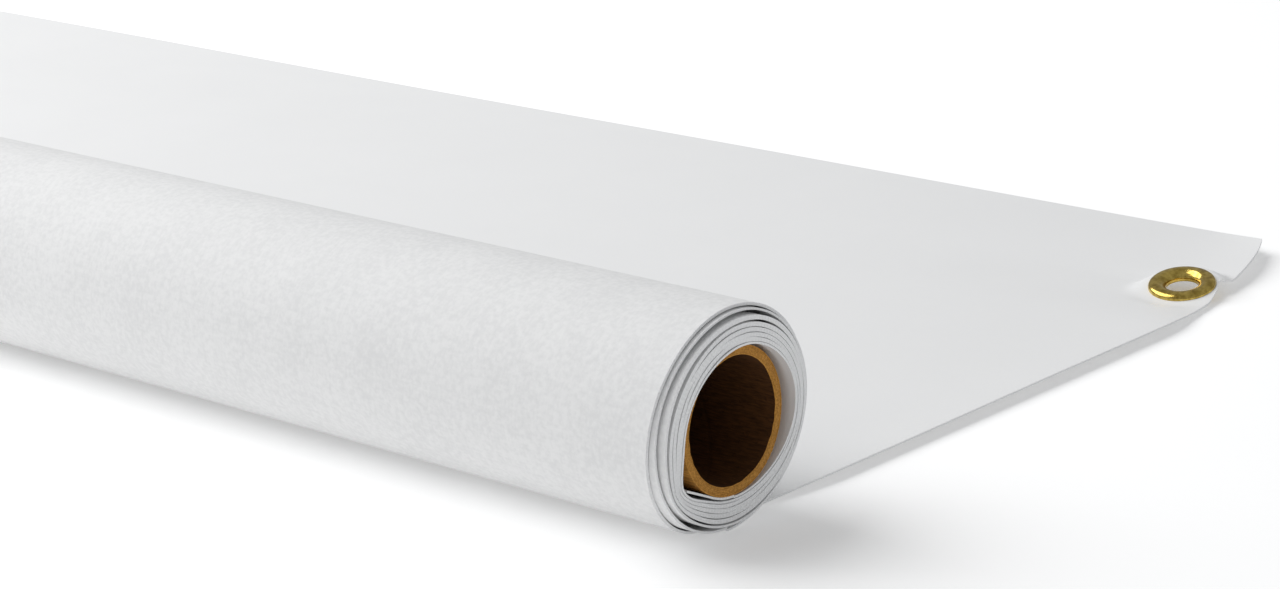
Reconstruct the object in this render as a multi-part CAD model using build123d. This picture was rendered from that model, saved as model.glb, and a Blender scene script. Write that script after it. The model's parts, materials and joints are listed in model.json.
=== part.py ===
"""A roll of white banner vinyl on a kraft paper core, lying on its side and partly unrolled.

Frame (millimetres): the origin is the centre of the core's bore, halfway along it.
+X runs along the roll to its square-cut end, +Y along the unrolled tail to its free edge, +Z up.

One continuous sheet makes the tail, the loose lead wrap and all the turns inside it. It is
divided where it moves: the tail lies still, the lead wrap travels with the roll, the turns
inside rotate with the winding, and the core slides out of their bore.
"""
import os
from math import pi, degrees

from build123d import *

# ---- driving dimensions ----------------------------------------------------------------------
sheet_width = 914.4        # 36 in
sheet_length = 1829.0      # 6 ft, the stock length nearest to eight turns and the tail
sheet_t = 0.45             # coated scrim vinyl, about 440 g/m2

core_bore_r = 38.1 / 2     # 1 1/2 in core
core_wall = 3.0
core_skin_t = 0.6          # the innermost and the outermost paper ply
core_length = 917.4        # stands 1.5 mm proud of the tight turns at each end
core_ply_walls = {
    "core_liner_ply": core_skin_t,
    "core_body_plies": core_wall - 2 * core_skin_t,
    "core_face_ply": core_skin_t,
}

roll_r = 33.6              # outside of the lead wrap
turn_outer_r = {           # outside radius of each closed turn; their number is an estimate
    "wrap_2": 31.9, "wrap_3": 30.5, "wrap_4": 29.5, "wrap_5": 28.5,
    "wrap_6": 27.5, "wrap_7": 26.5, "wrap_8": 25.5,
}
start_flap_r = 24.6        # outside of the loose start end, inside the last turn
start_flap_from = -130.0   # degrees from +Y towards +Z, where the start edge lies

lead_wrap_shift = -4.0     # the outer turns are telescoped back from the square end
loose_turn_shift = -2.0
tail_shift = -8.5

running_gap = 0.3          # between the tail and the roll that rides over it
tail_under = 3.0           # how far the tail reaches under the roll, past the contact line
tail_reach = 356.0         # contact line to free edge
ramp_start, ramp_end = 205.0, 265.0   # the tail climbs here onto its grommets' washers

grommet_bore_r = 11.1125 / 2          # 7/16 in, a number 3 grommet
grommet_flange_r = 11.9
grommet_metal_t = 0.5
grommet_height = 1.8                  # flange above the sheet
grommet_bend_r = 1.95                 # hole side of the bend from flange to barrel
grommet_rim_r = 1.55                  # rounded outer edge
grommet_curl_r = 0.8                  # curl of the barrel under the washer
washer_outer_r = 11.4
washer_t = 0.5
washer_bore_r = 6.5
grommet_to_side = 15.7                # grommet centre to the sheet's side edge
grommet_to_free_edge = 77.0           # grommet centre to the sheet's free edge

# ---- derived places --------------------------------------------------------------------------
floor_z = -(roll_r + running_gap + sheet_t)
curl_drop = washer_t + grommet_curl_r           # lowest point of a grommet, below the sheet
grommet_sheet_z = floor_z + curl_drop           # underside of the tail at the grommets
grommet_y = tail_reach - grommet_to_free_edge
grommet_reach = sheet_width / 2 - grommet_to_side
grommet_x = {"right": tail_shift + grommet_reach, "left": tail_shift - grommet_reach}


def tube(outer_r, wall, length, shift=0.0):
    """A thin tube along X, centred on the axis of the roll."""
    ring = Plane.YZ * (Circle(outer_r) - Circle(outer_r - wall))
    return Pos(shift - length / 2, 0, 0) * extrude(ring, length, dir=(1, 0, 0))


def strip(outer_r, wall, length, from_deg, sweep_deg):
    """Part of a thin tube: a strip that bends round the axis through sweep_deg."""
    inner_r = outer_r - wall
    outer = CenterArc((0, 0), outer_r, from_deg, sweep_deg)
    inner = CenterArc((0, 0), inner_r, from_deg, sweep_deg)
    outline = outer + inner + Line(outer @ 0, inner @ 0) + Line(outer @ 1, inner @ 1)
    return Pos(-length / 2, 0, 0) * extrude(Plane.YZ * make_face(outline), length, dir=(1, 0, 0))


def tail():
    """The unrolled sheet: flat on the floor, then a slight climb onto the grommets."""
    lift = grommet_sheet_z - floor_z
    under = [(-tail_under, 0), (ramp_start, 0), (ramp_end, lift), (tail_reach, lift)]
    over = [(y, z + sheet_t) for y, z in reversed(under)]
    section = Plane.YZ * make_face(Polyline(*under, *over, close=True))
    sheet = extrude(section, sheet_width, dir=(1, 0, 0))
    sheet = Pos(tail_shift - sheet_width / 2, 0, floor_z) * sheet
    for x in grommet_x.values():
        sheet -= Pos(x, grommet_y, grommet_sheet_z) * Cylinder(washer_bore_r, 4 * sheet_t)
    return sheet


def eyelet():
    """Pressed brass eyelet; z = 0 is the sheet's upper face. The flange has a rounded outer
    edge, bends down into a straight barrel, and the barrel curls out under the washer."""
    t = grommet_metal_t
    rim_c = grommet_flange_r - grommet_rim_r
    rim_z = grommet_height - grommet_rim_r
    bend_c = grommet_bore_r + grommet_bend_r
    bend_z = grommet_height - grommet_bend_r
    curl_c = grommet_bore_r + grommet_curl_r
    curl_z = -(sheet_t + washer_t)
    skin_side = (
        Line((grommet_flange_r, 0), (grommet_flange_r, rim_z))
        + CenterArc((rim_c, rim_z), grommet_rim_r, 0, 90)
        + Line((rim_c, grommet_height), (bend_c, grommet_height))
        + CenterArc((bend_c, bend_z), grommet_bend_r, 90, 90)
        + Line((grommet_bore_r, bend_z), (grommet_bore_r, curl_z))
        + CenterArc((curl_c, curl_z), grommet_curl_r, 180, 180)
    )
    sheet_side = (
        Line((grommet_flange_r - t, 0), (grommet_flange_r - t, rim_z))
        + CenterArc((rim_c, rim_z), grommet_rim_r - t, 0, 90)
        + Line((rim_c, grommet_height - t), (bend_c, grommet_height - t))
        + CenterArc((bend_c, bend_z), grommet_bend_r - t, 90, 90)
        + Line((grommet_bore_r + t, bend_z), (grommet_bore_r + t, curl_z))
        + CenterArc((curl_c, curl_z), grommet_curl_r - t, 180, 180)
    )
    curl_end = curl_c + grommet_curl_r
    closing = (
        Line((grommet_flange_r, 0), (grommet_flange_r - t, 0))
        + Line((curl_end, curl_z), (curl_end - t, curl_z))
    )
    section = make_face(skin_side + sheet_side + closing)
    return revolve(Plane.XZ * section, Axis.Z, 360)


def washer():
    """Flat brass ring under the sheet; z = 0 is the sheet's underside."""
    ring = Circle(washer_outer_r) - Circle(washer_bore_r)
    return extrude(ring, washer_t, dir=(0, 0, -1))


parts = {"tail_sheet": tail(), "lead_wrap": tube(roll_r, sheet_t, sheet_width, lead_wrap_shift)}

for name, outer_r in turn_outer_r.items():
    shift = loose_turn_shift if name == "wrap_2" else 0.0
    parts[name] = tube(outer_r, sheet_t, sheet_width, shift)

# The start end takes up whatever length of sheet the tail and the closed turns leave.
turn_radii = [roll_r, *turn_outer_r.values()]
wound_length = sum(2 * pi * (r - sheet_t / 2) for r in turn_radii)
start_flap_length = sheet_length - tail_reach - wound_length
start_flap_sweep = degrees(start_flap_length / (start_flap_r - sheet_t / 2))
parts["start_flap"] = strip(start_flap_r, sheet_t, sheet_width, start_flap_from, start_flap_sweep)

ply_outer_r = core_bore_r
for name, wall in core_ply_walls.items():
    ply_outer_r += wall
    parts[name] = tube(ply_outer_r, wall, core_length)

for side, x in grommet_x.items():
    parts[f"{side}_eyelet"] = Pos(x, grommet_y, grommet_sheet_z + sheet_t) * eyelet()
    parts[f"{side}_washer"] = Pos(x, grommet_y, grommet_sheet_z) * washer()

print(f"sheet on the roll {wound_length + start_flap_length:.0f} mm, tail {tail_reach:.0f} mm")
print(f"start flap {start_flap_length:.0f} mm over {start_flap_sweep:.0f} degrees")
print(f"core outside radius {ply_outer_r:.2f} mm, floor z {floor_z:.2f} mm")

os.makedirs("parts", exist_ok=True)
for name, shape in parts.items():
    shape.label = name
    export_step(shape, f"parts/{name}.step")
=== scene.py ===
# %% [markdown]
# # A roll of sign vinyl, partly unrolled
#
# One white banner sheet, 36 inches wide, is wound on a kraft paper core. The roll lies on its side
# with the first 36 cm of the sheet unrolled flat, and a brass grommet sits near each corner of the
# free end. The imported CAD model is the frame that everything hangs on: it holds the sizes, the
# bodies and the joints. Each visible piece here is a new mesh that stands in for one or more of its
# plain nodes, in the same metres and in the same place.

# %% Load the frame
import json
from math import cos, pi, radians, sin, tau

import bpy
import numpy as np
from mathutils import Matrix, Quaternion, Vector


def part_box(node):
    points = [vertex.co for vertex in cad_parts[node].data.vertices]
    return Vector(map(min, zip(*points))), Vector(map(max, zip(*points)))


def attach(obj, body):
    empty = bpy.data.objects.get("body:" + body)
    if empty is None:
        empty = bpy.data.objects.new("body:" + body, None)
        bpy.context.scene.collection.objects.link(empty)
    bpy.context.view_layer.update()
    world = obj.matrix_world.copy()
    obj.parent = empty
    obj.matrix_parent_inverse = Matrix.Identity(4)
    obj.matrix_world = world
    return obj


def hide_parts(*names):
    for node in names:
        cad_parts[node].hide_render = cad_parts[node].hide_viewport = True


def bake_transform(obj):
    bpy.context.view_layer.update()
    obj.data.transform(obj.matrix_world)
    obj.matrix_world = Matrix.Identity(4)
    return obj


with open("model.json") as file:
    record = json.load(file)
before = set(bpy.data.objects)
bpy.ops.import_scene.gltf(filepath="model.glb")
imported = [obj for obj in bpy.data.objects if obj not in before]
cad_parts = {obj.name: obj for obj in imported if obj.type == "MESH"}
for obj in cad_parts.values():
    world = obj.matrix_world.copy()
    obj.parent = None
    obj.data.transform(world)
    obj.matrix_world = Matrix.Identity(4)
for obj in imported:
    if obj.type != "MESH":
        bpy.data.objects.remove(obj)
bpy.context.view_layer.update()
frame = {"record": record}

# %% [markdown]
# ## Sizes that the frame gives
#
# The floor, the sheet's width, the core and the grommets' places are read from the imported nodes and
# mounts, so the looks follow the CAD model. Only what the CAD model leaves plain is given here.

# %% Read the frame's sizes
MM = 0.001

tail_low, tail_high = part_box("tail_sheet")
mounts = {mount["name"]: mount for mount in frame["record"]["mounts"]}

sheet_t = 0.45 * MM
floor_z = tail_low.z
sheet_width = tail_high.x - tail_low.x
tail_side_x = tail_high.x               # the tail's edge at the visible end
tail_reach = tail_high.y                # contact line to free edge
core_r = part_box("core_face_ply")[1].z
bore_r = mounts["core_bore"]["dims"]["r_mm"] * MM
grommet_bore_r = mounts["corner_grommets"]["dims"]["hole_r_mm"] * MM


def middle_of(node):
    """The centre of a node's box."""
    low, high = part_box(node)
    return (low + high) / 2


grommet_at = {side: middle_of(f"{side}_eyelet") for side in ("right", "left")}
print("floor", round(floor_z, 5), "sheet width", round(sheet_width, 4), "core radius", round(core_r, 5))

# %% [markdown]
# ## The camera
#
# It looks down on the square end of the roll from the front right, through a long lens, so the roll
# runs away to the upper left. A long lens keeps the roll's two outlines nearly parallel. The camera
# leans a little over one degree, as a hand-held one does.

# %% Place the camera
camera_turn, camera_tilt, camera_lean = radians(41.20), radians(16.45), radians(-1.335)
toward_camera = Vector((sin(camera_turn) * cos(camera_tilt),
                        -cos(camera_turn) * cos(camera_tilt),
                        sin(camera_tilt)))
camera_data = bpy.data.cameras.new("camera")
camera_data.sensor_width = 36
camera_data.lens = 92.3
camera = bpy.data.objects.new("camera", camera_data)
camera.location = (1.0161, -0.6754, 0.2962)
camera.rotation_mode = "QUATERNION"
camera.rotation_quaternion = (-toward_camera).to_track_quat("-Z", "Y") @ Quaternion((0, 0, 1), camera_lean)
bpy.context.scene.collection.objects.link(camera)
bpy.context.scene.camera = camera
bpy.context.scene.view_settings.view_transform = "Standard"

# %% [markdown]
# ## A way to write shaders
#
# A finish is a small program of nodes. Drawn by hand it is a web of boxes; written as arithmetic it
# is a few lines. `Signal` is one node's output with Python's operators put on it, and `Finish` is a
# material with one method that adds any node: its type, its settings, then the values or the
# signals for its sockets.


# %% Signals and finishes
class Signal:
    """A shader socket that takes part in Python arithmetic. Each operator adds a Math node."""

    def __init__(self, finish, socket):
        self.finish, self.socket = finish, socket

    def math(self, operation, *values):
        return self.finish.node("ShaderNodeMath", {"operation": operation}, dict(enumerate(values)))

    def __add__(self, other):
        return self.math("ADD", self, other)

    __radd__ = __add__

    def __sub__(self, other):
        return self.math("SUBTRACT", self, other)

    def __rsub__(self, other):
        return self.math("SUBTRACT", other, self)

    def __mul__(self, other):
        return self.math("MULTIPLY", self, other)

    __rmul__ = __mul__

    def __truediv__(self, other):
        return self.math("DIVIDE", self, other)

    def __abs__(self):
        return self.math("ABSOLUTE", self)

    def wave(self):
        """A sine of this signal, in radians."""
        return self.math("SINE", self)

    def step(self, low, high):
        """0 below low, 1 above high, with a smooth rise between them."""
        ranged = {"interpolation_type": "SMOOTHSTEP"}
        return self.finish.node("ShaderNodeMapRange", ranged, {0: self, 1: low, 2: high})


class Finish:
    """A material being mixed: its node tree, and one way to add any node to it."""

    def __init__(self, name, **constants):
        self.material = bpy.data.materials.new(name)
        self.material.use_nodes = True
        self.tree = self.material.node_tree
        self.shader = self.tree.nodes["Principled BSDF"]
        for socket, value in constants.items():
            self.shader.inputs[socket.replace("_", " ")].default_value = value

    def node(self, kind, settings, values, output=0):
        """Adds one node: its settings first, then a value or a signal for each named socket."""
        made = self.tree.nodes.new(kind)
        for setting, value in settings.items():
            if setting == "stops":
                self.set_stops(made.color_ramp, value)
            else:
                setattr(made, setting, value)
        for socket, value in values.items():
            self.feed(made.inputs[socket], value)
        return Signal(self, made.outputs[output])

    def set_stops(self, ramp, stops):
        while len(ramp.elements) < len(stops):
            ramp.elements.new(1.0)
        for element, (place, colour) in zip(ramp.elements, stops):
            element.position, element.color = place, (*colour, 1)

    def feed(self, socket, value):
        if isinstance(value, Signal):
            self.tree.links.new(value.socket, socket)
        else:
            socket.default_value = value

    def place(self):
        """Where a point is on the object, in metres."""
        return self.node("ShaderNodeTexCoord", {}, {}, "Object")

    def split(self, where):
        """The three coordinates of a place, each as a signal."""
        x = self.node("ShaderNodeSeparateXYZ", {}, {0: where}, "X")
        parts = x.socket.node.outputs
        return x, Signal(self, parts["Y"]), Signal(self, parts["Z"])

    def measure(self, name):
        """A number kept on the mesh, such as the distance along the sheet."""
        return self.node("ShaderNodeAttribute", {"attribute_name": name}, {}, "Fac")

    def grain(self, size, where, detail=2.0, roughness=0.5):
        """Cloudy noise whose lumps are about size metres across, from 0 to 1."""
        values = {"Vector": where, "Scale": 1 / size, "Detail": detail, "Roughness": roughness}
        return self.node("ShaderNodeTexNoise", {}, values, "Fac")

    def stretched(self, where, x, y, z):
        """The same place with its axes scaled, to draw noise out into fibres."""
        return self.node("ShaderNodeVectorMath", {"operation": "MULTIPLY"}, {0: where, 1: (x, y, z)})

    def tint(self, amount, low, high):
        """A colour between low and high."""
        return self.node("ShaderNodeMix", {"data_type": "RGBA"},
                         {0: amount, 6: (*low, 1), 7: (*high, 1)}, 2)

    def over(self, amount, under, colour):
        """A colour laid over another where amount is 1."""
        return self.node("ShaderNodeMix", {"data_type": "RGBA"}, {0: amount, 6: under, 7: (*colour, 1)}, 2)

    def use(self, colour=None, roughness=None, height=None, depth=0.0):
        """Feeds the shader; height is in the same lumps as depth, which is metres."""
        if colour is not None:
            self.feed(self.shader.inputs["Base Color"], colour)
        if roughness is not None:
            self.feed(self.shader.inputs["Roughness"], roughness)
        if height is not None:
            bump = self.node("ShaderNodeBump", {}, {"Height": height, "Distance": depth}, "Normal")
            self.feed(self.shader.inputs["Normal"], bump)
        return self.material


# %% [markdown]
# ## The vinyl's three surfaces
# Banner vinyl is a knitted polyester scrim between two films. The printing side is smooth and
# satin. The back is matt, with a fine pebble and the scrim showing faintly through it. The cut edge
# shows the white film with the ends of the scrim's threads. Each is a separate finish. Both sides are
# the same white, but the printing side is given a lighter white, painted light that makes the flat
# sheet read bright, and the back a greyer white, painted shade that makes the roll read grey.
# light tells them apart: the same white looks bright on the flat sheet and grey on the roll.
# The scrim is laid out by two numbers kept on each sheet mesh, the distances along and across it,
# so it follows the sheet wherever it bends.

# %% Vinyl
scrim_pitch = 1.4 * MM


def scrim(finish, sharpness=1.0):
    """The raised net of threads under the film, 0 in its openings and 1 on a crossing."""
    along = abs((finish.measure("along") * (pi / scrim_pitch)).wave())
    across = abs((finish.measure("across") * (pi / scrim_pitch)).wave())
    return (along + across) * (0.5 * sharpness)


def vinyl_face_painted_light():
    finish = Finish("vinyl_printing_side_painted_light", IOR=1.47, Specular_IOR_Level=0.42)
    where = finish.place()
    cloud = finish.grain(38 * MM, where, 3.0)
    pebble = finish.grain(0.9 * MM, where, 2.0)
    net = scrim(finish)
    # A lighter white than the back's for the same film: painted light, so the flat sheet reads bright.
    colour = finish.tint(cloud * 0.6 + pebble * 0.4, (0.858, 0.860, 0.862), (0.896, 0.896, 0.896))
    height = net * 0.12 + pebble * 0.88
    return finish.use(colour, 0.34 + 0.16 * pebble, height, 0.05 * MM)


def vinyl_back_painted_shade():
    finish = Finish("vinyl_back_painted_shade", IOR=1.45, Specular_IOR_Level=0.25)
    where = finish.place()
    cloud = finish.grain(22 * MM, where, 3.0)
    pebble = finish.grain(1.8 * MM, where, 2.0, 0.55)
    net = scrim(finish)
    shade = pebble * 0.65 + cloud * 0.3 + net * 0.05
    # A greyer white than the printing side's for the same film: painted shade, so the roll reads grey.
    colour = finish.tint(shade.step(0.32, 0.68), (0.738, 0.739, 0.740), (0.812, 0.812, 0.811))
    return finish.use(colour, 0.56 + 0.2 * pebble, net * 0.08 + pebble * 0.92, 0.09 * MM)


def vinyl_cut_edge():
    finish = Finish("vinyl_cut_edge", IOR=1.45, Specular_IOR_Level=0.2)
    where = finish.place()
    threads = abs((finish.measure("along") * (pi / scrim_pitch)).wave()).step(0.8, 1.0)
    fuzz = finish.grain(0.3 * MM, where, 3.0)
    colour = finish.tint(fuzz * 0.7 + threads * 0.3, (0.88, 0.88, 0.88), (0.80, 0.81, 0.82))
    return finish.use(colour, 0.7 + 0.2 * fuzz, fuzz + threads, 0.06 * MM)


vinyl = [vinyl_face_painted_light(), vinyl_back_painted_shade(), vinyl_cut_edge()]

# %% [markdown]
# ## From a surface to a sheet
#
# Every stretch of the vinyl is made the same way. A formula gives the printing side as a grid of
# points, one row for each step along the sheet and one column for each step across it. The grid
# becomes quads, and a Solidify modifier gives them the film's thickness, putting the back and the
# cut edge in material slots of their own. The edges are drawn thicker than the film, and thicker
# again where a turn is slack, so that the end of the roll looks closely packed; a weight on each
# point tells the modifier how thick to make it there. What fills that space on a real roll may be
# hems or more turns. Cloth simulation could drape a sheet too, but this one is stiff, lies flat
# and is wound tight, so its shape is known and a formula holds it exactly.


# %% Sheets from grids
edge_t, edge_fade = 0.65 * MM, 14 * MM       # film thickness at a side edge, and how far in it lasts
plump_t = 1.30 * MM                          # the thickest edge drawn, where the turns are slack


def film_at(across, at_edge=edge_t):
    """The film's thickness, for a distance across the sheet from its visible side."""
    inward = np.minimum(across, sheet_width - across)
    return sheet_t + (at_edge - sheet_t) * np.exp(-((inward / edge_fade) ** 2))


def quads_of(rows, columns):
    """The corner numbers of each quad in a grid, row by row."""
    first = np.arange((rows - 1) * columns).reshape(rows - 1, columns)[:, :-1].ravel()
    return np.stack([first, first + 1, first + columns + 1, first + columns], 1)


def add_piece(name, points, faces, finishes):
    """A mesh object from points and faces, with its finishes in its material slots."""
    mesh = bpy.data.meshes.new(name)
    mesh.from_pydata(points.tolist(), [], faces.tolist())
    for finish in finishes:
        mesh.materials.append(finish)
    piece = bpy.data.objects.new(name, mesh)
    bpy.context.scene.collection.objects.link(piece)
    return piece


def shade_smooth(piece, crease_degrees=40):
    """Smooth shading that keeps the edges sharper than crease_degrees crisp."""
    piece.data.shade_smooth()
    piece.data.set_sharp_from_angle(angle=radians(crease_degrees))


def sheet_piece(name, points, along, across, thickness, keep=None):
    """A stretch of vinyl: points[row, column] on its printing side, whose normals face that side."""
    rows, columns = points.shape[:2]
    faces = quads_of(rows, columns)
    if keep is not None:
        faces = faces[keep.ravel()]
    piece = add_piece(name, points.reshape(-1, 3), faces, vinyl)
    for measure, values in (("along", along[:, None] + 0 * across), ("across", across + 0 * along[:, None])):
        kept = piece.data.attributes.new(measure, "FLOAT", "POINT")
        kept.data.foreach_set("value", values.astype(np.float32).ravel())
    weights = piece.vertex_groups.new(name="thickness")
    for index, share in enumerate((thickness / plump_t).ravel()):
        weights.add([index], float(share), "REPLACE")
    film = piece.modifiers.new("film", "SOLIDIFY")
    film.vertex_group = "thickness"
    film.thickness = plump_t
    film.offset = -1
    film.material_offset, film.material_offset_rim = 1, 2
    ready = piece.evaluated_get(bpy.context.evaluated_depsgraph_get())
    piece.data = bpy.data.meshes.new_from_object(ready)
    piece.modifiers.clear()
    shade_smooth(piece)
    print(name, len(piece.data.polygons), "faces")
    return piece


# %% [markdown]
# ## How the sheet is wound
#
# The whole winding is one spiral. A point on it is told by how many turns have been wound since the
# sheet left the floor: 0 at the contact line, then once round for each whole number, up the front,
# over the top and down the back. The outermost turn is loose and follows the floor. The turns under
# it close in, quickly at first and then tightly. None is truly round: the start end of the sheet
# is stiff and stands straight off the core, so it pushes a corner into every turn at the lower
# front, and the core hangs in the front of its bore, which leaves the turns slack at the back.

# %% The winding's shape
turns_wound = 8
start_end_angle = 55.0                       # degrees round from the bottom, where the sheet starts
lead_radius = (34.35 * MM, 33.74 * MM)       # outside of the outermost turn, at its ends
wound_radius = 32.98 * MM                    # outside of the turn under it
bore_fit_radius = core_r + 0.10 * MM + edge_t
winding_tightness = 1.15
back_slack = (280.0, 50.0, 4.2 * MM)         # angle, spread in degrees, height
corner_push = (59.0, 15.0, 21.0, 4.2 * MM)   # angle, spread above and below it, height
swells = [(1.50, 0.33, 0.60 * MM), (2.04, 0.12, -0.45 * MM), (2.30, 0.13, 0.62 * MM),
          (2.55, 0.20, 0.40 * MM), (7.36, 0.16, -0.55 * MM)]
start_lifts_at = 25.0                        # degrees, where the start end leaves the core
start_lift_limit = 1.2                       # radians, past which it rises no further
edge_gap = 0.13 * MM                         # left between two turns' edges, at the least
turning_clearance_r = 33.12 * MM             # the circle that the second turn sweeps as it turns


def smooth(value, start, end):
    """0 before start, 1 after end, and an even S between them."""
    t = np.clip((value - start) / (end - start), 0, 1)
    return t * t * (3 - 2 * t)


def hill(value, centre, spread):
    """A round hill of height 1."""
    return np.exp(-(((value - centre) / spread) ** 2))


def angle_off(angle, centre):
    """How far an angle is from centre, from -180 to 180 degrees."""
    return (angle - centre + 180) % 360 - 180


def innermost_radius(angle):
    """Outside of the turn next to the core."""
    centre, spread, height = back_slack
    slack = height * hill(angle_off(angle, centre), 0, spread)
    centre, above, below, height = corner_push
    off = angle_off(angle, centre)
    corner = np.where(off > 0, np.exp(-((np.abs(off) / above) ** 1.5)), hill(off, 0, below))
    return bore_fit_radius + slack + height * corner


def outside_radius(turns):
    """Outside radius of the spiral after so many turns."""
    angle = 360 * (turns % 1)
    lead = lead_radius[0] + (lead_radius[1] - lead_radius[0]) * turns
    left = np.clip((turns_wound - turns) / (turns_wound - 1), 0, 1)
    outward = left ** winding_tightness
    wound = innermost_radius(angle) * (1 - outward) + wound_radius * outward
    for centre, spread, height in swells:
        wound = wound + height * hill(turns, centre, spread)
    lift = np.radians(np.maximum(angle - start_lifts_at, 0))
    start = bore_fit_radius / np.cos(np.minimum(lift, start_lift_limit))
    return np.where(turns < 1, lead, np.where(turns < turns_wound, wound, start))


print("outside radius after each turn, mm", np.round(outside_radius(np.arange(0, 8.1, 1)) / MM, 2))

# %% [markdown]
# The roll has telescoped: the two outer turns lie a little further back from the square end than
# the turns inside them, and the tail further still. The end of the roll also leans, so its top
# stands further out than its bottom. The sheet's width never changes, so the other end of the roll
# repeats this edge.

# %% The sheet's edge
edge_lean = 1.7 * MM
lead_edge_rise, loose_edge_rise = 7.3 * MM, 2.4 * MM
edge_ripple = 0.14 * MM
steps_a_turn = 120                           # grid rows in each turn


def edge_x(turns):
    """Where the sheet's edge lies at the visible end of the roll, after so many turns."""
    angle = tau * turns
    rise = lead_edge_rise * (1 - np.exp(-turns / 0.2)) + loose_edge_rise * smooth(turns, 1.15, 2.1)
    ripple = edge_ripple * np.sin(turns * 23.0) * smooth(turns, 0.1, 0.5)
    return tail_side_x + rise + edge_lean * (1 - np.cos(angle)) + ripple


def edge_thickness(turns):
    """The film's thickness at its side edge, swollen as far as the next turn in leaves room.
    The outermost turn keeps clear of the whole circle that the turn inside it sweeps."""
    outside = outside_radius(turns)
    inside = outside_radius(np.minimum(turns + 1, turns_wound - 1e-6)) + edge_gap
    inside = np.where(turns < 1, turning_clearance_r, inside)
    swollen = smooth(turns, 0, 0.2) - smooth(turns, 0.97, 1.0) + smooth(turns, 2.1, 2.5)
    share = swollen - smooth(turns, 6.8, 7.05)
    return edge_t + share * (np.clip(outside - inside, edge_t, plump_t) - edge_t)


def wound_strip(first, last):
    """Points on the printing side, which faces the core, from one number of turns to another."""
    steps = max(int(round((last - first) * steps_a_turn)), 12)
    turns = np.linspace(first, last, steps + 1)
    angle = tau * turns
    radius = outside_radius(np.clip(turns, first + 1e-6, last - 1e-6))
    near = np.array([0, 0.4, 1, 2, 4, 8, 16, 32, 64, 128, 240, 350]) * MM
    from_edge = np.concatenate([near, [sheet_width / 2], sheet_width - near[::-1]])
    x = edge_x(turns)[:, None] - from_edge
    film = film_at(from_edge, edge_thickness(turns)[:, None])
    printed_side = radius[:, None] - film
    y = -printed_side * np.sin(angle)[:, None]
    z = -printed_side * np.cos(angle)[:, None]
    middle = len(from_edge) // 2
    length = np.cumsum(np.hypot(np.diff(y[:, middle]), np.diff(z[:, middle])))
    length = np.concatenate([[0], length])
    return np.stack([x, y, z], 2), length, from_edge, film


def wound_piece(name, first, last):
    """One stretch of the winding, and how long it is when flat."""
    points, length, from_edge, film = wound_strip(first, last)
    piece = sheet_piece(name, points, length, from_edge, film)
    return piece, float(length[-1])


# %% Wind the sheet
outer_turn, outer_turn_length = wound_piece("outer_turn", 0, 1)
wound = []
for number in range(2, turns_wound + 1):
    wound.append((*wound_piece(f"turn_{number}", number - 1, number), f"wrap_{number}"))
wound.append((*wound_piece("start_end", turns_wound, turns_wound + start_end_angle / 360), "start_flap"))
print("sheet wound, mm", round((outer_turn_length + sum(length for _, length, _ in wound)) / MM))

# %% [markdown]
# ## The unrolled sheet
#
# It lies on the floor with the slight waves that vinyl keeps from being rolled up. Near the free
# end the grommets hold it up, because each has a washer and a curled barrel underneath. The corner
# past the grommet curls up and in, and the side edge puckers where the pressed grommet has drawn
# the film tight. The surface is a height and a small sideways pull, worked out at every grid point,
# so it only comes near to a true bend of a flat sheet, which would keep every length.

# %% The tail's height and pull
side_lift, side_spread = 2.6 * MM, 4.8 * MM  # how far the side edges stand up and out
side_fade = 45 * MM                          # how far in from a side edge that reaches
grommet_lift = 3.45 * MM                     # underside of the sheet over the floor, at a grommet
grommet_tilt = radians(13)
grommet_falls_toward = {"right": radians(-82), "left": radians(-98)}
pad_r, pad_fade_r = 12.6 * MM, 20.5 * MM     # flat under the flange, then free of it
corner_start, corner_length = 282.2 * MM, 74.5 * MM
corner_curl = {"right": 5.1 * MM, "left": 3.2 * MM}
corner_in, corner_back = 17.0 * MM, 15.5 * MM   # how far the corner's tip is drawn in and back
curl_fade, inset_fade = 34 * MM, 42 * MM     # how far in from a side the curl and the pull reach
notch_at, notch_depth, notch_dip = 286.5 * MM, 3.6 * MM, 1.7 * MM
pucker_up, pucker_down, pucker_fade = 0.9 * MM, 1.5 * MM, 16 * MM
wave_height = 0.45 * MM


def corner_shape(v):
    """How far along its curl the corner is at distance v from the roll: 0 at its start."""
    return np.clip((v - corner_start) / corner_length, 0, None)


def side_inset(v):
    """How far the side edge is drawn in, beside the grommet and at the corner."""
    notch = notch_depth * smooth(v, 267 * MM, 288 * MM) + notch_dip * hill(v, notch_at, 3.4 * MM)
    return notch + corner_in * corner_shape(v) ** 1.5


def edge_height(v, s):
    """Height of the puckers along a side edge, s metres in from it."""
    pucker = pucker_up * hill(v, 272 * MM, 7.5 * MM) - pucker_down * hill(v, 288.3 * MM, 3.0 * MM)
    return pucker * np.exp(-s / pucker_fade)


def side_rise(v, inward):
    """How far a side edge stands off the floor, from 0 to 1: none by the roll or the corner."""
    return smooth(v, 0.005, 0.06) * (1 - smooth(v, 0.235, 0.275)) * np.exp(-inward / side_fade)


def tail_waves(x, v):
    """Slow waves left from the roll: none at the contact line, about a millimetre further out."""
    slow = np.sin(x * 11.0 + 0.8) * np.sin(v * 17.0 + x * 3.0) + 0.6 * np.sin(v * 31.0 - x * 5.0)
    return wave_height * (slow + 1.4) * smooth(v, 0.05, 0.30)


def pad_height(side, x, y):
    """Height of the flat pad under a grommet, over the floor."""
    centre, fall = grommet_at[side], grommet_falls_toward[side]
    down = (x - centre.x) * cos(fall) + (y - centre.y) * sin(fall)
    return grommet_lift - down * np.tan(grommet_tilt)


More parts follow.
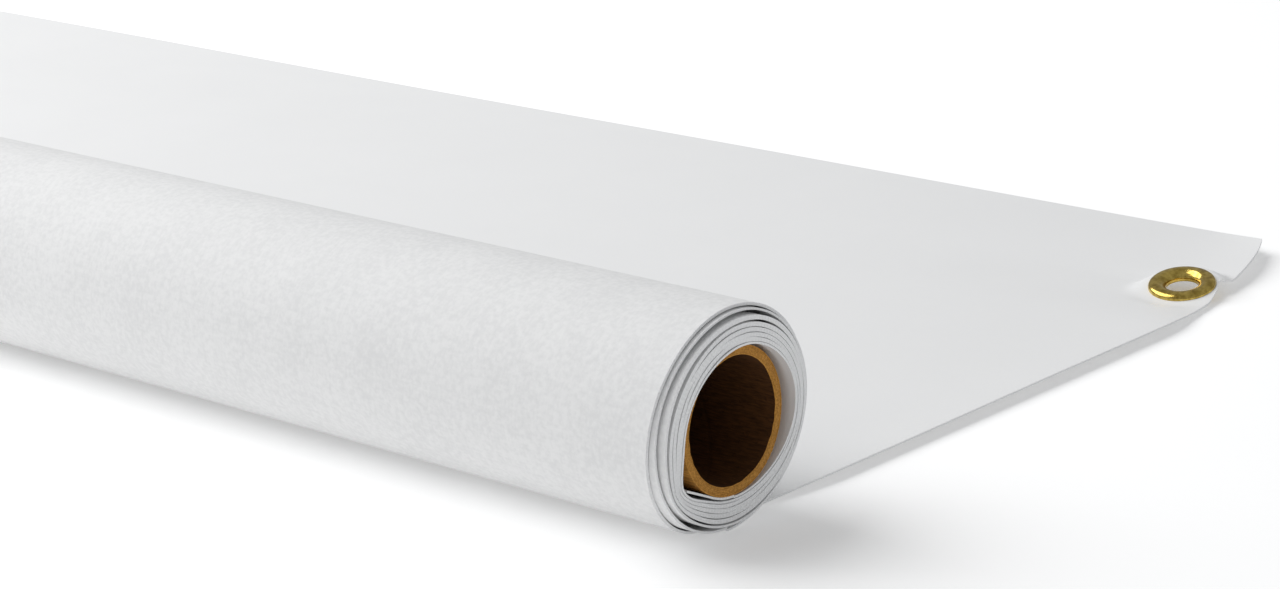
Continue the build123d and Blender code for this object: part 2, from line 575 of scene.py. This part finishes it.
def tail_surface(s, v):
    """Points on the tail, for s metres in from the visible side and v metres from the roll."""
    x, y = tail_side_x - s, v + 0 * s
    z = tail_waves(x, v)
    for side, inward in (("right", s), ("left", sheet_width - s)):
        sign = -1 if side == "right" else 1
        share = corner_curl[side] / corner_curl["right"]
        by_the_side = np.exp(-inward / curl_fade)
        x = x + sign * share * side_inset(v) * np.exp(-((inward / inset_fade) ** 2))
        y = y - share * corner_back * corner_shape(v) ** 1.8 * by_the_side
        rise = side_rise(v, inward)
        x, z = x - sign * side_spread * rise, z + side_lift * rise
        curl = corner_curl[side] * (1 - np.exp(-corner_shape(v) / 0.28))
        z = z + curl * by_the_side + share * edge_height(v, inward)
    for side, centre in grommet_at.items():
        far = np.hypot(x - centre.x, y - centre.y)
        held = 1 - smooth(far, pad_r, pad_fade_r)
        z = z * (1 - held) + pad_height(side, x, y) * held
    z = np.maximum(z, 0)
    return np.stack([x, y, floor_z + film_at(s + 0 * v) + z], 2)


# %% Lay the tail
def graded(*spans):
    """Grid lines with a step of their own in each span: (start, end, step) in millimetres."""
    lines = [np.arange(start, end - 1e-6, step) for start, end, step in spans]
    return np.concatenate([*lines, [spans[-1][1]]]) * MM


width_mm, reach_mm = sheet_width / MM, tail_reach / MM
s_lines = graded((0, 2, 1), (2, 60, 2), (60, 120, 5), (120, width_mm - 120, 12),
                 (width_mm - 120, width_mm - 60, 5), (width_mm - 60, width_mm - 2, 2),
                 (width_mm - 2, width_mm, 1))
v_lines = graded((0, 250, 6), (250, reach_mm - 1, 2), (reach_mm - 1, reach_mm, 1))
tail_points = tail_surface(s_lines[None, :], v_lines[:, None])
hole_r = 7.5 * MM
quad_middle = (tail_points[1:, 1:] + tail_points[:-1, :-1]) / 2
outside_holes = np.ones(quad_middle.shape[:2], bool)
for centre in grommet_at.values():
    outside_holes &= np.hypot(quad_middle[..., 0] - centre.x, quad_middle[..., 1] - centre.y) > hole_r
# Rows run along the tail and columns from the visible side, which turns the normals down; reversing
# the columns turns them up, so that the printing side is on top.
tail_film = film_at(s_lines[::-1] + 0 * v_lines[:, None])
tail = sheet_piece("unrolled_sheet", tail_points[:, ::-1], v_lines, s_lines[::-1], tail_film,
                   outside_holes[:, ::-1])

# %% [markdown]
# ## Turned profiles
#
# A paper tube and a pressed eyelet are both a profile swept round an axis. The profile is a closed
# line of points, each a radius and a height; one ring of vertices is made for each point and the
# rings are joined into quads. Blender's Spin and Screw tools do the same, but writing the rings
# leaves room to let a radius or a height vary round the ring, which real paper and metal do.


# %% Turn a profile
def turned_piece(name, profile, segments, finishes, slots, place, uneven=None):
    """A ring-shaped piece. profile is (radius, height) points in a closed loop; slots gives each
    point's finish; place puts the ring, whose axis is Z, in the frame."""
    profile = np.array(profile)
    count = len(profile)
    angle = np.linspace(0, tau, segments, endpoint=False)
    radius = profile[None, :, 0] + 0 * angle[:, None]
    height = profile[None, :, 1] + 0 * angle[:, None]
    if uneven is not None:
        height = height + uneven(angle[:, None], profile[None, :, 0])
    points = np.stack([radius * np.cos(angle)[:, None], radius * np.sin(angle)[:, None], height], 2)
    ring, corner = np.divmod(np.arange(segments * count), count)
    ahead, beside = (ring + 1) % segments * count, (corner + 1) % count
    faces = np.stack([ring * count + corner, ahead + corner, ahead + beside, ring * count + beside], 1)
    piece = add_piece(name, points.reshape(-1, 3), faces, finishes)
    piece.data.polygons.foreach_set("material_index", np.tile(slots, segments))
    piece.data.transform(place)
    shade_smooth(piece)
    print(name, len(piece.data.polygons), "faces")
    return piece


# %% [markdown]
# ## The paper core
#
# The core is kraft paper wound in a spiral and glued: a smooth liner inside, board in the middle and
# a smooth face outside. It was sawn to length, so its end shows the plies as fine rings and is
# rougher than its walls. The walls are brown paper with long fibres and flecks, and a seam that
# winds along them. Little light gets down a tube this long, and the bore's paper is also drawn far
# darker than the outside: painted shade for the dark inside of the tube.

# %% Kraft paper
kraft_dark, kraft_light = (0.330, 0.150, 0.028), (0.640, 0.315, 0.070)
seam_pitch = 78 * MM


def kraft_wall(name, dark, light):
    finish = Finish(name, Specular_IOR_Level=0.2)
    where = finish.place()
    fibres = finish.grain(0.5 * MM, finish.stretched(where, 0.12, 1, 1), 4.0, 0.6)
    flecks = finish.grain(1.6 * MM, where, 2.0).step(0.62, 0.74)
    along, side, up = finish.split(where)
    winding = along / seam_pitch + side.math("ARCTAN2", up, side) / tau
    from_seam = abs(winding.math("FRACT", winding) - 0.5)
    seam = 1 - from_seam.step(0.004, 0.012)
    paper = finish.tint(fibres.step(0.3, 0.7), dark, light)
    shade = finish.over(flecks * 0.35, paper, tuple(0.6 * part for part in dark))
    colour = finish.over(seam * 0.25, shade, tuple(0.5 * part for part in dark))
    return finish.use(colour, 0.74 + 0.18 * fibres, fibres + flecks - seam, 0.06 * MM)


def kraft_cut_end():
    finish = Finish("kraft_cut_end", Specular_IOR_Level=0.15)
    where = finish.place()
    radius = finish.node("ShaderNodeVectorMath", {"operation": "LENGTH"},
                         {0: finish.stretched(where, 0, 1, 1)}, "Value")
    plies = abs((radius * (pi / (0.5 * MM))).wave()).step(0.0, 0.45)
    crumbs = finish.grain(0.6 * MM, where, 4.0, 0.65)
    board = finish.tint(crumbs.step(0.25, 0.75), kraft_dark, kraft_light)
    colour = finish.over((1 - plies) * 0.45, board, tuple(0.5 * part for part in kraft_dark))
    return finish.use(colour, 0.82 + 0.12 * crumbs, crumbs + plies * 0.5, 0.15 * MM)


core_finishes = [
    kraft_wall("kraft_wall", kraft_dark, kraft_light),
    kraft_cut_end(),
    # The bore's wall: the same kraft drawn far darker, painted shade for the dark inside of the tube.
    kraft_wall("kraft_bore_painted_shade", (0.046, 0.017, 0.005), (0.110, 0.042, 0.011)),
]

# %% The core's three layers
tube_stand = Matrix.Rotation(pi / 2, 4, "Y")           # a ring's axis, from +Z to +X


def sawn(angle, radius):
    """The unevenness of a sawn paper end, which grows toward the bore's torn lip."""
    torn = 0.5 + 0.5 * np.sin(angle * 17 + 3 * np.sin(angle * 5))
    return 0.12 * MM * np.sin(angle * 2 + 1) - 0.22 * MM * torn * hill(radius, bore_r, 0.5 * MM)


def core_layer(name, node, inner_finish):
    low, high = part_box(node)
    outer = high.z
    inner = outer - wall_of[node]
    lip = 0.12 * MM
    ends = [(outer, high.x - lip), (outer - lip, high.x), (inner + lip, high.x), (inner, high.x - lip)]
    steps = [0.4, 0.1, -0.1, -0.4]
    walls = [(inner, high.x * step * 2) for step in steps]
    backs = [(inner, low.x + lip), (inner + lip, low.x), (outer - lip, low.x), (outer, low.x + lip)]
    profile = [*ends, *walls, *backs, *[(outer, -high.x * step * 2) for step in steps]]
    slots = [1, 1, 1] + [inner_finish] * 5 + [1, 1, 1] + [0] * 5
    return turned_piece(name, profile, 144, core_finishes, slots, tube_stand, sawn)


liner_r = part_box("core_liner_ply")[1].z
body_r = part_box("core_body_plies")[1].z
wall_of = {
    "core_liner_ply": liner_r - bore_r,
    "core_body_plies": body_r - liner_r,
    "core_face_ply": core_r - body_r,
}
# Slot 2 gives the liner's inside the bore finish, which is painted shade for the dark inside of the tube.
core_liner = core_layer("core_liner", "core_liner_ply", 2)
core_board = core_layer("core_board", "core_body_plies", 0)
core_face = core_layer("core_face", "core_face_ply", 0)

# %% [markdown]
# ## The brass grommets
#
# A grommet is two pressings. The eyelet has a rounded rim that rises to a crest and then runs down
# in a long funnel to the barrel; the barrel passes through the sheet and is curled over a washer
# underneath. The profile is drawn from short arcs, with the metal's real thickness, and turned.
# Each grommet lies in the slight tilt of the sheet it is pressed into.

# %% Brass
def brass():
    finish = Finish("polished_brass", Metallic=1.0)
    where = finish.place()
    tarnish = finish.grain(2.5 * MM, where, 4.0, 0.6)
    scratches = finish.grain(0.25 * MM, finish.stretched(where, 1, 0.3, 1), 3.0)
    colour = finish.tint(tarnish.step(0.3, 0.75), (0.74, 0.54, 0.14), (0.34, 0.22, 0.035))
    return finish.use(colour, 0.10 + 0.08 * tarnish, scratches + tarnish * 0.5, 0.02 * MM)


brass_finish = brass()

# %% Press the grommets
metal_t = 0.5 * MM
washer_play = 0.9 * MM                       # between the barrel's bore and the washer's hole
flange_r = (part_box("right_eyelet")[1].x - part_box("right_eyelet")[0].x) / 2
washer_r = (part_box("right_washer")[1].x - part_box("right_washer")[0].x) / 2


def arc(centre_r, centre_h, radius, first, last, steps=7):
    """Points on an arc of a profile, with angles in degrees."""
    angles = np.radians(np.linspace(first, last, steps))
    return [(centre_r + radius * np.cos(a), centre_h + radius * np.sin(a)) for a in angles]


def eyelet_skin(inset):
    """The eyelet's profile from its outer rim to the curl, inset from its outer skin."""
    rim, crest_h, funnel_h, curl = 1.6 * MM, 2.0 * MM, 2.9 * MM, 0.8 * MM
    crest_r = 9.0 * MM
    curl_z = -(sheet_t + metal_t)
    slope = np.radians(np.linspace(0, 90, 12))
    funnel_r = crest_r - (crest_r - grommet_bore_r - inset) * np.sin(slope)
    funnel_z = crest_h - inset - (funnel_h - inset) * (1 - np.cos(slope))
    return [
        *arc(flange_r - rim, 0.2 * MM, rim - inset, -8, 84),
        *zip(funnel_r, funnel_z),
        *arc(grommet_bore_r + curl, curl_z, curl - inset, 180, 350, 9)[1:],
    ]


def press_grommet(side):
    """The eyelet and washer of one grommet, lying in the sheet's tilt."""
    centre, fall = grommet_at[side], grommet_falls_toward[side]
    tilt_axis = Vector((-sin(fall), cos(fall), 0))
    seat = Matrix.Translation((centre.x, centre.y, floor_z + grommet_lift + sheet_t))
    seat = seat @ Matrix.Rotation(grommet_tilt, 4, tilt_axis)
    skin = eyelet_skin(0) + eyelet_skin(metal_t)[::-1]
    eyelet = turned_piece(f"grommet_{side}_eyelet", skin, 96, [brass_finish], [0] * len(skin), seat)
    top, low = -sheet_t, -sheet_t - metal_t
    inner, lip = grommet_bore_r + washer_play, 0.12 * MM
    ring = [(inner, low), (washer_r - lip, low), (washer_r, low + lip), (washer_r, top - lip),
            (washer_r - lip, top), (inner, top)]
    washer = turned_piece(f"grommet_{side}_washer", ring, 96, [brass_finish], [0] * len(ring), seat)
    return eyelet, washer


grommets = {side: press_grommet(side) for side in grommet_at}

# %% [markdown]
# ## Floor and light
#
# A white sheet on a white floor is told only by soft shadows. The floor is matt white paper with a
# little glow of its own, so it clips to white except where the roll and the sheet's edges shade it.
# A large soft light hangs over the left, the side the roll runs to, and a weaker one fills the
# front. The world is a pale grey room.

# %% Floor
def paper_floor():
    finish = Finish("paper_floor", Roughness=0.9, Specular_IOR_Level=0.1,
                    Emission_Color=(1, 1, 1, 1), Emission_Strength=0.22)
    mottle = finish.grain(0.4, finish.place(), 2.0)
    return finish.use(finish.tint(mottle, (0.91, 0.91, 0.91), (0.93, 0.93, 0.93)))


floor_half = 14.0
corners = np.array([(-1, -1), (1, -1), (1, 1), (-1, 1)]) * floor_half
floor_points = np.column_stack([corners, np.full(4, floor_z)])
floor = add_piece("floor", floor_points, np.array([[0, 1, 2, 3]]), [paper_floor()])

# %% Lights
world = bpy.data.worlds.new("room")
world.use_nodes = True
room = world.node_tree.nodes["Background"].inputs
room["Color"].default_value = (0.97, 0.985, 1.0, 1)
room["Strength"].default_value = 0.36
bpy.context.scene.world = world


def soft_light(name, position, target, width, height, watts):
    light = bpy.data.lights.new(name, "AREA")
    light.shape, light.size, light.size_y, light.energy = "RECTANGLE", width, height, watts
    lamp = bpy.data.objects.new(name, light)
    lamp.location = position
    aim = Vector(target) - Vector(position)
    lamp.rotation_mode = "QUATERNION"
    lamp.rotation_quaternion = aim.to_track_quat("-Z", "Y")
    bpy.context.scene.collection.objects.link(lamp)


soft_light("key", (-1.25, -0.3, 1.7), (0, 0.1, 0), 2.2, 2.2, 51)
soft_light("fill", (-1.0, -1.5, 1.5), (0, 0, 0), 1.4, 1.0, 5)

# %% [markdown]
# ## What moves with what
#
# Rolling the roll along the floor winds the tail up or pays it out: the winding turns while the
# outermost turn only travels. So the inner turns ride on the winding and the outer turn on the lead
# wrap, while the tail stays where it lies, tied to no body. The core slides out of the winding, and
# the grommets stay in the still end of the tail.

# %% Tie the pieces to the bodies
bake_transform(tail)
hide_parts("tail_sheet")

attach(outer_turn, "lead_wrap")
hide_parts("lead_wrap")

for piece, _, node in wound:
    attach(piece, "winding")
    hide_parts(node)

layers = {"core_liner_ply": core_liner, "core_body_plies": core_board, "core_face_ply": core_face}
for node, piece in layers.items():
    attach(piece, "core")
    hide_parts(node)

for side, (eyelet, washer) in grommets.items():
    for piece, node in ((eyelet, f"{side}_eyelet"), (washer, f"{side}_washer")):
        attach(piece, "sheet")
        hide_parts(node)
